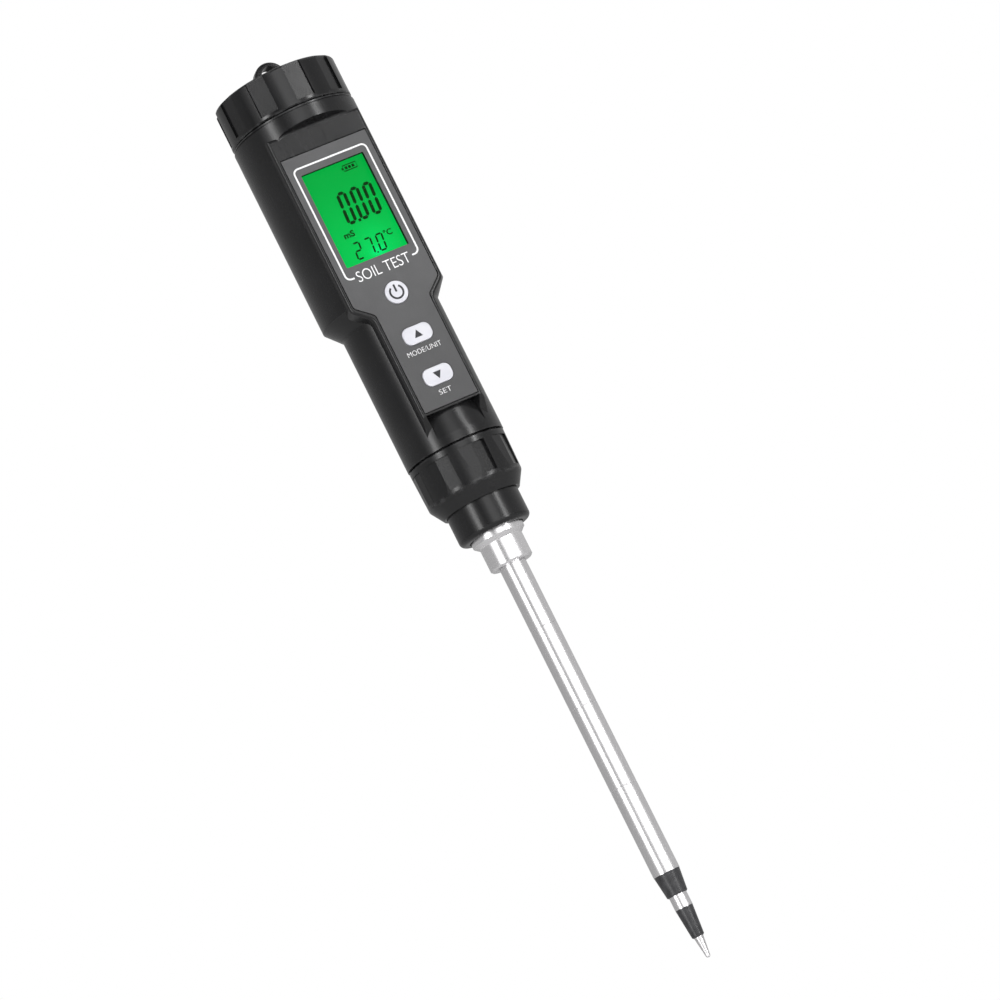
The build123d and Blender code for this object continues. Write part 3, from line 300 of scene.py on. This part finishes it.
def lcdLit():
    look = litDisplay
    shade = Shade("lcdLit")
    across = shade.x - look["glowAt"][0]
    up = shade.z - look["glowAt"][1]
    middle = (lcdLow.z + lcdHigh.z) / 2
    rise = (shade.z - middle) / (lcdHigh.z - lcdLow.z)
    wide = (across * across + 0.55 * up * up) ** 0.5
    narrow = (across * across + 2.2 * up * up) ** 0.5
    dots = shade.noise(9000.0, 1.0, 0.5)
    field = shade.blend(rise.ramp(-0.5, 0.45), look["low"], look["high"])
    field = shade.blend(wide.ramp(0.0, look["glowSize"], 0.55, 0.0), field, look["glow"])
    field = shade.blend(narrow.ramp(0.0, look["spotSize"], 0.85, 0.0), field, look["spot"])
    field = shade.blend(dots.ramp(0.4, 0.7) * 0.12, field, look["dots"])
    return shade.finish(
        base=look["unlit"], glow=field, glowPower=look["power"], rough=0.45 + 0.1 * dots,
        specular=look["specular"])


# ringed: marks run round the piece, as from a lathe, and not along it
def polishedSteel(name, tint, streak, ringed):
    shade = Shade(name)
    draw = shade.noise(2600.0, 4.0, 0.65, shade.stretched(1.0, 1.0, 0.02))
    turn = shade.noise(3000.0, 3.0, 0.6, shade.stretched(0.05, 0.05, 1.0))
    marks = turn if ringed else draw
    fog = shade.noise(120.0, 3.0, 0.55)
    spots = shade.pits(700.0).ramp(0.02, 0.09, 1.0, 0.0) * fog.ramp(0.5, 0.7)
    base = shade.blend(marks.ramp(0.3, 0.7) * 0.5, tint, scaled(tint, 0.86))
    base = shade.blend(spots * 0.25, base, (0.42, 0.41, 0.40))
    return shade.finish(
        base=base, metal=1.0, rough=streak + 0.10 * marks + 0.08 * fog,
        normal=shade.relief(marks, 0.25, 0.006 * mm))


def blackInsulator():
    shade = Shade("blackInsulator")
    grain = shade.noise(5200.0, 3.0, 0.6)
    cloud = shade.noise(350.0, 3.0, 0.55)
    base = shade.blend(cloud.ramp(0.35, 0.7), (0.022, 0.022, 0.024), (0.042, 0.042, 0.045))
    return shade.finish(
        base=base, rough=0.3 + 0.1 * cloud, normal=shade.relief(grain, 0.35, 0.012 * mm))


def softRubber():
    shade = Shade("softRubber")
    grain = shade.noise(6000.0, 3.0, 0.6)
    bloom = shade.noise(500.0, 3.0, 0.6)
    base = shade.blend(bloom.ramp(0.45, 0.75), (0.018, 0.018, 0.018), (0.05, 0.05, 0.048))
    return shade.finish(
        base=base, rough=0.6 + 0.15 * bloom, normal=shade.relief(grain, 0.4, 0.01 * mm))


def innerPlastic(name, tint):
    shade = Shade(name)
    grain = shade.noise(3800.0, 3.0, 0.6)
    cloud = shade.noise(200.0, 2.0, 0.5)
    base = shade.blend(cloud.ramp(0.35, 0.7), tint, scaled(tint, 0.8))
    return shade.finish(
        base=base, rough=0.48 + 0.12 * grain, normal=shade.relief(grain, 0.3, 0.012 * mm))


def boardLaminate():
    shade = Shade("boardLaminate")
    weave = shade.node(
        "ShaderNodeTexWave", {"wave_type": "BANDS", "bands_direction": "Z"},
        {"Vector": shade.place, "Scale": 900.0, "Distortion": 0.6}, "Fac")
    traces = shade.node("ShaderNodeTexBrick", {"offset": 0.5}, {
        "Vector": shade.stretched(420.0, 420.0, 420.0), "Mortar Size": 0.06, "Scale": 1.0}, "Fac")
    base = shade.blend(weave * 0.3, (0.012, 0.13, 0.045), (0.018, 0.19, 0.07))
    base = shade.blend(traces * 0.6, base, (0.03, 0.27, 0.10))
    return shade.finish(
        base=base, rough=0.3 + 0.1 * weave, normal=shade.relief(traces, 0.3, 0.02 * mm))


def goldContact():
    shade = Shade("goldContact")
    worn = shade.noise(900.0, 3.0, 0.6)
    base = shade.blend(worn.ramp(0.4, 0.75), (0.86, 0.63, 0.24), (0.70, 0.52, 0.26))
    return shade.finish(base=base, metal=1.0, rough=0.2 + 0.18 * worn)


# one maker for each material slot of the record
makers = {
    "housing_plastic": lambda: mouldedBlack("housingPlastic", housingLook),
    "cap_plastic": lambda: mouldedBlack("capPlastic", capLook),
    "label_sheet": labelSheet,
    "clear_pane": clearPane,
    "lcd_glass": lcdLit,
    "diffuser_plastic": lambda: innerPlastic("milkyDiffuser", (0.75, 0.82, 0.76)),
    "inner_plastic": lambda: innerPlastic("innerPlastic", (0.06, 0.06, 0.065)),
    "zebra_rubber": softRubber,
    "board_laminate": boardLaminate,
    "chip_plastic": lambda: innerPlastic("chipPlastic", (0.025, 0.025, 0.026)),
    "screw_steel": lambda: polishedSteel("zincScrew", (0.62, 0.63, 0.66), 0.28, True),
    "cell_steel": lambda: polishedSteel("cellCan", (0.72, 0.72, 0.71), 0.18, True),
    "contact_brass": goldContact,
    "spring_steel": lambda: polishedSteel("springWire", (0.66, 0.66, 0.66), 0.25, False),
    "button_plastic": whiteKey,
    "bright_metal": lambda: polishedSteel("brightMetal", (0.84, 0.83, 0.84), 0.18, True),
    "rod_steel": lambda: polishedSteel("drawnSteel", (0.80, 0.79, 0.80), 0.20, False),
    "insulator_plastic": blackInsulator,
    "potting_resin": lambda: innerPlastic("pottingResin", (0.02, 0.02, 0.022)),
    "wire_sleeve": lambda: innerPlastic("wireSleeve", (0.42, 0.04, 0.03)),
    "seal_rubber": softRubber,
}


def paint(mesh, material):
    mesh.materials.clear()
    mesh.materials.append(material)


finishes = {}
for part in frame["record"]["subparts"]:
    slotName = part["material_slot"]
    if slotName not in finishes:
        finishes[slotName] = makers[slotName]()
    paint(nodes[part["node"]].data, finishes[slotName])
ink = printInk("whitePrint", (0.88, 0.88, 0.89), 0.5)
darkInk = printInk("darkPrint", (0.03, 0.03, 0.034), 0.3)
segmentInk = printInk("segmentInk", (0.002, 0.03, 0.004), 0.03)
print("materials made:", len(finishes) + 3)


def link(name, data):
    made = bpy.data.objects.new(name, data)
    bpy.context.scene.collection.objects.link(made)
    return made


def addPiece(name, mesh, material, body):
    paint(mesh, material)
    piece = link(name, mesh)
    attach(piece, body)


printDepth = 0.03 * mm  # how far a print stands out of its face
printSink = 0.01 * mm  # how far it reaches into it


# closed thin solid from one outline of (x, z) points, printed on a face towards -Y
def prism(made, outline, face):
    back, front = face + printSink, face - printDepth
    faces = [[made.verts.new((x, y, z)) for x, z in outline] for y in (back, front)]
    made.faces.new(faces[0])
    made.faces.new(list(reversed(faces[1])))
    count = len(outline)
    for index in range(count):
        after = (index + 1) % count
        made.faces.new((faces[0][after], faces[0][index], faces[1][index], faces[1][after]))


# a line of even width along (x, z) points, printed on a face towards -Y
def ribbon(made, path, width, face, closed):
    back, front = face + printSink, face - printDepth
    points = [Vector(point) for point in path]
    count = len(points)
    sides = []
    for index, point in enumerate(points):
        before = points[index - 1] if closed or index else point
        after = points[(index + 1) % count] if closed or index < count - 1 else point
        along = (after - before).normalized()
        across = Vector((-along.y, along.x)) * width / 2
        sides.append([
            made.verts.new((spot.x, y, spot.y))
            for y in (back, front) for spot in (point + across, point - across)])
    spans = count if closed else count - 1
    for index in range(spans):
        one, two = sides[index], sides[(index + 1) % count]
        for a, b in ((0, 1), (1, 3), (3, 2), (2, 0)):
            made.faces.new((one[a], one[b], two[b], two[a]))
    if not closed:
        made.faces.new([sides[0][key] for key in (0, 2, 3, 1)])
        made.faces.new([sides[-1][key] for key in (0, 1, 3, 2)])


def meshFrom(name, build):
    made = bmesh.new()
    build(made)
    bmesh.ops.recalc_face_normals(made, faces=made.faces)
    mesh = bpy.data.meshes.new(name)
    made.to_mesh(mesh)
    made.free()
    return mesh


def arcPoints(centre, radius, start, stop, steps):
    turns = [math.radians(start + (stop - start) * step / steps) for step in range(steps + 1)]
    return [
        (centre[0] + radius * math.cos(turn), centre[1] + radius * math.sin(turn))
        for turn in turns]


# letters scaled to a width and a height, thin and facing -Y
def textMesh(name, words, centre, size, face, thinning):
    letters = bpy.data.curves.new(name, "FONT")
    letters.body = words
    letters.size = size[1]
    letters.extrude = printDepth / 2
    letters.offset = -thinning
    holder = link(name, letters)
    bpy.context.view_layer.update()
    shaped = holder.evaluated_get(bpy.context.evaluated_depsgraph_get())
    mesh = bpy.data.meshes.new_from_object(shaped)
    bpy.data.objects.remove(holder)
    across = [vertex.co.x for vertex in mesh.vertices]
    up = [vertex.co.y for vertex in mesh.vertices]
    middle = Vector(((min(across) + max(across)) / 2, (min(up) + max(up)) / 2, 0))
    width, height = max(across) - min(across), max(up) - min(up)
    grow = Matrix.Diagonal((size[0] / width, size[1] / height, 1, 1))
    upright = Matrix.Rotation(math.pi / 2, 4, "X")
    place = Matrix.Translation((centre[0], face - printDepth / 2, centre[1]))
    mesh.transform(place @ upright @ grow @ Matrix.Translation(-middle))
    return mesh


# white line round the window, open below it between the two hooks
frameLine = {"halfWidth": 11.6 * mm, "top": 249.2 * mm, "bottom": 213.7 * mm,
             "corner": 1.5 * mm, "cornerSteps": 8, "line": 0.5 * mm, "hook": 9.3 * mm}


def labelLine():
    corner, steps = frameLine["corner"], frameLine["cornerSteps"]
    side = frameLine["halfWidth"] - corner
    low, high = frameLine["bottom"] + corner, frameLine["top"] - corner
    bends = [((-side, low), 270), ((-side, high), 180), ((side, high), 90), ((side, low), 0)]
    path = [(-frameLine["hook"], frameLine["bottom"])]
    for centre, start in bends:
        path += arcPoints(centre, corner, start, start - 90, steps)
    path += [(frameLine["hook"], frameLine["bottom"])]
    return meshFrom(
        "frame_line", lambda made: ribbon(made, path, frameLine["line"], labelFront, False))


addPiece("frame_line", labelLine(), ink, "housing")

# words: centre, size and how much the strokes are thinned, in millimetres
labelWords = [
    {"name": "words_title", "text": "SOIL TEST", "at": (-0.1, 213.6), "size": (16.8, 3.2),
     "thin": 0.03},
    {"name": "words_up", "text": "MODE/UNIT", "at": (-0.1, 187.2), "size": (10.7, 1.45),
     "thin": 0.02},
    {"name": "words_down", "text": "SET", "at": (0.0, 174.0), "size": (3.9, 1.45), "thin": 0.02},
]


def addWords(group, face, material):
    for words in group:
        centre, size = scaled(words["at"], mm), scaled(words["size"], mm)
        mesh = textMesh(words["name"], words["text"], centre, size, face, words["thin"] * mm)
        addPiece(words["name"], mesh, material, "housing")


addWords(labelWords, labelFront, ink)
print("label printed")

# power mark: ring and its open top, line and stem; arrow: half width, height, drop of its foot
keyMarks = {"ring": 1.95 * mm, "ringTurns": (128, 412), "ringSteps": 40, "line": 0.58 * mm,
            "stem": (0.05 * mm, 2.3 * mm), "arrow": (1.27 * mm, 2.3 * mm), "arrowDrop": 0.45}


# middle of a key's front face
def keyCentre(node):
    lowest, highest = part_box(node)
    return (lowest.x + highest.x) / 2, lowest.y, (lowest.z + highest.z) / 2


def powerMark():
    x, face, z = keyCentre("power_button")
    ring = arcPoints((x, z), keyMarks["ring"], *keyMarks["ringTurns"], keyMarks["ringSteps"])
    stem = [(x, z + end) for end in keyMarks["stem"]]

    def build(made):
        for path in (ring, stem):
            ribbon(made, path, keyMarks["line"], face, False)
    return meshFrom("power_mark", build)


def arrowMark(node, way):
    x, face, z = keyCentre(node)
    half, tall = keyMarks["arrow"]
    foot = z - way * keyMarks["arrowDrop"] * tall
    corners = [(x - half, foot), (x + half, foot), (x, foot + way * tall)]
    return meshFrom(node + "_mark", lambda made: prism(made, corners, face))


addPiece("power_mark", powerMark(), darkInk, "power_button")
addPiece("up_mark", arrowMark("up_button", 1), darkInk, "up_button")
addPiece("down_mark", arrowMark("down_button", -1), darkInk, "down_button")
print("keys marked")

# seven-segment digits, in millimetres: the lean is sideways for each unit of height
segments = {"0": "abcdef", "2": "abged", "7": "abc"}
digitRows = {
    "reading": {"text": "0.00", "left": -3.16, "bottom": 228.9, "width": 3.1, "height": 10.1,
                "stroke": 0.98, "pitch": 4.1, "gap": 0.1, "lean": 0.06},
    "temperature": {"text": "27.0", "left": -5.27, "bottom": 218.45, "width": 2.35,
                    "height": 5.35, "stroke": 0.52, "pitch": 3.65, "gap": 0.07, "lean": 0.09},
}
# taper of a bar's end in half strokes, and the point's shift in millimetres and side in strokes
digitShape = {"barTaper": 0.9, "dotShift": 0.28, "dotSide": 0.85}


# hexagon-ended bar of one segment
def segmentOutline(letter, row):
    half, gap = row["stroke"] / 2, row["gap"]
    levels = {"a": row["height"] - half, "g": row["height"] / 2, "d": half}
    if letter in levels:
        z, start, stop = levels[letter], half + gap, row["width"] - half - gap
        taper = digitShape["barTaper"] * half
        return [(start, z), (start + taper, z - half), (stop - taper, z - half), (stop, z),
                (stop - taper, z + half), (start + taper, z + half)]
    x = half if letter in "ef" else row["width"] - half
    upper = letter in "fb"
    foot = (row["height"] / 2 if upper else half) + gap
    top = (row["height"] - half if upper else row["height"] / 2) - gap
    return [(x, foot), (x + half, foot + half), (x + half, top - half), (x, top),
            (x - half, top - half), (x - half, foot + half)]


def dotOutline(row):
    start = row["width"] - row["pitch"] + digitShape["dotShift"]
    side = row["stroke"] * digitShape["dotSide"]
    return [(start, 0), (start + side, 0), (start + side, side), (start, side)]


def signOutlines(sign, row):
    if sign == ".":
        return [dotOutline(row)]
    return [segmentOutline(letter, row) for letter in segments[sign]]


def digitRow(name):
    row = digitRows[name]

    def build(made):
        left = row["left"]
        for sign in row["text"]:
            for outline in signOutlines(sign, row):
                prism(made, [
                    ((left + x + row["lean"] * z) * mm, (row["bottom"] + z) * mm)
                    for x, z in outline], lcdFront)
            if sign != ".":  # the point takes no room
                left += row["pitch"]
    return meshFrom(name + "_digits", build)


for rowName in digitRows:
    addPiece(rowName + "_digits", digitRow(rowName), segmentInk, "housing")

# a negative thinning makes the strokes bolder
unitWords = [
    {"name": "unit_salt", "text": "mS", "at": (-4.2, 226.5), "size": (3.3, 1.95), "thin": -0.06},
    {"name": "unit_heat", "text": "°C", "at": (6.5, 223.0), "size": (2.6, 1.9), "thin": -0.04},
]
addWords(unitWords, lcdFront, segmentInk)

# battery sign, in millimetres: outline, bars inside it and the nub at its left
batterySign = {"left": 3.1, "right": 7.3, "bottom": 244.05, "top": 245.75, "line": 0.3,
               "lines": 3, "bars": 3, "barRoom": 0.42, "barShare": 0.72, "barStart": 1.6,
               "nub": (0.55, 0.1), "nubLevels": (244.55, 245.25)}


def batteryMark():
    sign = batterySign

    def rectangle(left, right, bottom, top):
        return [(x * mm, z * mm) for x, z in (
            (left, bottom), (right, bottom), (right, top), (left, top))]

    def build(made):
        outline = rectangle(sign["left"], sign["right"], sign["bottom"], sign["top"])
        ribbon(made, outline, sign["line"] * mm, lcdFront, True)
        pitch = (sign["right"] - sign["left"] - sign["lines"] * sign["line"]) / sign["bars"]
        for bar in range(sign["bars"]):
            start = sign["left"] + sign["barStart"] * sign["line"] + bar * pitch
            prism(made, rectangle(
                start, start + sign["barShare"] * pitch, sign["bottom"] + sign["barRoom"],
                sign["top"] - sign["barRoom"]), lcdFront)
        nubLeft, nubRight = [sign["left"] - step for step in sign["nub"]]
        prism(made, rectangle(nubLeft, nubRight, *sign["nubLevels"]), lcdFront)
    return meshFrom("battery_sign", build)


addPiece("battery_sign", batteryMark(), segmentInk, "housing")
print("display drawn")

# camera: distance in metres, drop as a share of it, turn and lean in degrees, focal in sensor
# widths, and the object's shift in the picture, aside and below, in picture widths
cameraPlan = {"distance": 1.29, "azimuth": -19.5, "drop": 0.163, "lean": 26.57, "focal": 4.621,
              "aside": -0.018, "below": 0.0035, "sensor": 36.0, "clip": (0.01, 50.0)}
centre = (cadBox[0] + cadBox[1]) / 2
azimuth = math.radians(cameraPlan["azimuth"])
stand = Vector((
    math.sin(azimuth) * cameraPlan["distance"], -math.cos(azimuth) * cameraPlan["distance"],
    centre.z - cameraPlan["drop"] * cameraPlan["distance"]))
forward = (centre - stand).normalized()
level = forward.cross(Vector((0, 0, 1))).normalized()
upright = level.cross(forward)
lean = math.radians(cameraPlan["lean"])
right = level * math.cos(lean) - upright * math.sin(lean)
above = level * math.sin(lean) + upright * math.cos(lean)
reach = (centre - stand).length
shift = right * -cameraPlan["aside"] + above * cameraPlan["below"]
aim = centre + shift * reach / cameraPlan["focal"]
forward = (aim - stand).normalized()
right = (right - forward * right.dot(forward)).normalized()
above = right.cross(forward)
camera = bpy.data.cameras.new("camera")
camera.sensor_width = cameraPlan["sensor"]
camera.lens = cameraPlan["sensor"] * cameraPlan["focal"]
camera.clip_start, camera.clip_end = cameraPlan["clip"]
cameraObject = link("camera", camera)
turned = Matrix((right, above, -forward)).transposed().to_4x4()
cameraObject.matrix_world = Matrix.Translation(stand) @ turned
bpy.context.scene.camera = cameraObject

# floor: its level and half width, its greys, and a glow that only the camera sees
floorPlan = {"height": -0.125, "half": 6.0, "light": (0.86, 0.86, 0.86),
             "dark": (0.82, 0.82, 0.82), "glow": (0.4, 0.4, 0.4), "rough": 0.9}


def floorSheet(made):
    half = floorPlan["half"]
    made.faces.new([
        made.verts.new((x * half, y * half, floorPlan["height"]))
        for x, y in ((-1, -1), (1, -1), (1, 1), (-1, 1))])


def paleFloor():
    shade = Shade("paleFloor")
    cloud = shade.noise(3.0, 2.0, 0.5)
    return shade.finish(
        base=shade.blend(cloud, floorPlan["light"], floorPlan["dark"]), rough=floorPlan["rough"],
        glow=shade.blend(shade.seen(), (0.0, 0.0, 0.0), floorPlan["glow"]), glowPower=1.0)


floor = link("floor", meshFrom("floor", floorSheet))
paint(floor.data, paleFloor())

# studio walls: brightness by degrees round the object, 0 straight in front of the keys
wallLevels = [
    (-180, 0.45), (-100, 0.45), (-86, 0.40), (-81, 0.05), (-76, 0.68), (-50, 0.68), (-40, 0.20),
    (-27, 0.14), (-21, 0.75), (2, 0.75), (10, 0.18), (24, 0.22), (45, 0.50), (100, 0.60),
    (180, 0.45)]


# the camera itself sees plain white
def studioWorld():
    shade = Shade("studio", True)
    angle = shade.sum("ARCTAN2", shade.x, -1.0 * shade.y)
    stops = [(degrees / 360 + 0.5, (level, level, level)) for degrees, level in wallLevels]
    walls = shade.node(
        "ShaderNodeValToRGB", {"stops": stops}, {0: angle * (1 / (2 * math.pi)) + 0.5})
    return shade.finish(light=shade.blend(shade.seen(), walls, (1.0, 1.0, 1.0)))


bpy.context.scene.world = studioWorld()

# soft boxes: turn round the object, height of the middle, width and height, and power in watts
softBoxes = [
    {"name": "keyLeft", "turn": -56.0, "height": 0.22, "size": (0.16, 0.9), "power": 4.0},
    {"name": "keyMiddle", "turn": 0.0, "height": 0.24, "size": (0.42, 0.9), "power": 1.9},
    {"name": "keyRight", "turn": 31.0, "height": 0.24, "size": (0.10, 0.9), "power": 4.0},
]
boxesAway = 0.9
boxesAim = Vector((0, 0, 0.16))
for box in softBoxes:
    lamp = bpy.data.lights.new(box["name"], "AREA")
    lamp.shape = "RECTANGLE"
    lamp.size, lamp.size_y = box["size"]
    lamp.energy = box["power"]
    turn = math.radians(box["turn"])
    spot = Vector((math.sin(turn) * boxesAway, -math.cos(turn) * boxesAway, box["height"]))
    lampObject = link(box["name"], lamp)
    lampObject.location = spot
    lampObject.rotation_euler = (boxesAim - spot).to_track_quat("-Z", "Y").to_euler()
bpy.context.scene.view_settings.view_transform = "Standard"
print("studio set")
